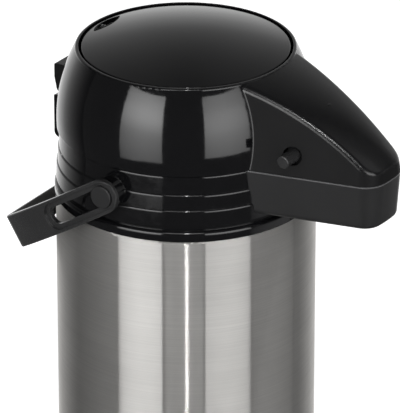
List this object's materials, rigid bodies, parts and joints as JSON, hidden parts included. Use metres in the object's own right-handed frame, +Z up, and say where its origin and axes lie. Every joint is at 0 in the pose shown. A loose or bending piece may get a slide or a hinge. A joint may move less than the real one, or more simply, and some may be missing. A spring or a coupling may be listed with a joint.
{
  "type": "airpot",
  "caption": "Free-standing vacuum jug with a push-disc pump in a hinged domed lid, a spout beak, a brushed steel body, a swing handle and a swivel foot.",
  "frame": {"origin": "on the body's axis, at the underside of the foot mat", "axes": "+Z up along the body's axis, +X towards the spout, +Y to the left when looking along the spout"},
  "size_m": [0.2377, 0.1808, 0.3684],
  "materials": {
    "steel_casing": "vertical bright stainless tube with fine turned grain",
    "base_ring": "moulded, glossy",
    "swivel_foot": "moulded, satin",
    "foot_mat": "flat rubber",
    "swivel_retainer": "stamped disc",
    "swivel_screw": "machined",
    "flask_cushion": "moulded rubber",
    "flask_outer": "glass silvered on the vacuum side",
    "flask_inner": "glass silvered on the vacuum side",
    "neck_gasket": "soft silicone",
    "collar": "moulded, glossy ribs",
    "lower_beak": "moulded, satin",
    "stem_plug": "natural moulded plastic",
    "valve_ball": "polished",
    "dip_tube": "natural extruded plastic",
    "discharge_tube": "soft silicone hose",
    "nozzle": "moulded, glossy",
    "lid_shell": "high gloss moulding",
    "hinge_pin": "drawn rod",
    "lid_plate": "moulded, satin",
    "lid_screws": "machined",
    "lid_gasket": "soft silicone",
    "air_valve": "soft silicone",
    "bellows": "blow-moulded, soft",
    "pump_spring": "bright wire",
    "spring_cup": "moulded, satin",
    "push_disc": "high gloss moulding",
    "lock_slider": "moulded, glossy",
    "release_button_left": "moulded, glossy",
    "release_button_right": "moulded, glossy",
    "release_spring_left": "bright wire",
    "release_spring_right": "bright wire",
    "handle": "moulded, satin",
    "pivot_caps": "moulded, satin"
  },
  "bodies": {
    "pot": {"steel_casing": "steel_casing", "base_ring": "base_ring", "swivel_retainer": "swivel_retainer", "swivel_screw": "swivel_screw", "flask_cushion": "flask_cushion", "flask_outer": "flask_outer", "flask_inner": "flask_inner", "neck_gasket": "neck_gasket", "collar": "collar", "lower_beak": "lower_beak", "stem_plug": "stem_plug", "valve_ball": "valve_ball", "dip_tube": "dip_tube", "discharge_tube": "discharge_tube", "nozzle": "nozzle", "pivot_caps": "pivot_caps"},
    "swivel_base": {"swivel_foot": "swivel_foot", "foot_mat": "foot_mat"},
    "lid": {"lid_shell": "lid_shell", "hinge_pin": "hinge_pin", "lid_plate": "lid_plate", "lid_screws": "lid_screws", "lid_gasket": "lid_gasket", "air_valve": "air_valve", "bellows": "bellows", "pump_spring": "pump_spring", "release_spring_left": "release_spring_left", "release_spring_right": "release_spring_right"},
    "pump_disc": {"push_disc": "push_disc", "spring_cup": "spring_cup"},
    "lock": {"lock_slider": "lock_slider"},
    "button_left": {"release_button_left": "release_button_left"},
    "button_right": {"release_button_right": "release_button_right"},
    "carry_handle": {"handle": "handle"}
  },
  "joints": [
    {"name": "swivel_turn", "type": "hinge", "parent": "pot", "child": "swivel_base", "pos_m": [0, 0, 0.0015], "axis": [0, 0, 1], "continuous": true},
    {"name": "lid_hinge", "type": "hinge", "parent": "pot", "child": "lid", "pos_m": [-0.0805, 0, 0.3188], "axis": [0, -1, 0], "range_deg": [0, 95]},
    {"name": "disc_press", "type": "slide", "parent": "lid", "child": "pump_disc", "axis": [0, 0, -1], "range_m": [0, 0.025], "stiffness_N_per_m": 400, "springref_m": -0.008, "deforming": ["bellows", "pump_spring"]},
    {"name": "lock_slide", "type": "slide", "parent": "pump_disc", "child": "lock", "axis": [0, 1, 0], "range_m": [0, 0.008]},
    {"name": "button_left_press", "type": "slide", "parent": "lid", "child": "button_left", "axis": [0, -1, 0], "range_m": [0, 0.005], "stiffness_N_per_m": 300, "springref_m": -0.002, "deforming": ["release_spring_left"]},
    {"name": "button_right_press", "type": "slide", "parent": "lid", "child": "button_right", "axis": [0, 1, 0], "range_m": [0, 0.005], "stiffness_N_per_m": 300, "springref_m": -0.002, "deforming": ["release_spring_right"]},
    {"name": "handle_swing", "type": "hinge", "parent": "pot", "child": "carry_handle", "pos_m": [-0.0015, 0, 0.2928], "axis": [0, 1, 0], "range_deg": [0, 150]}
  ]
}
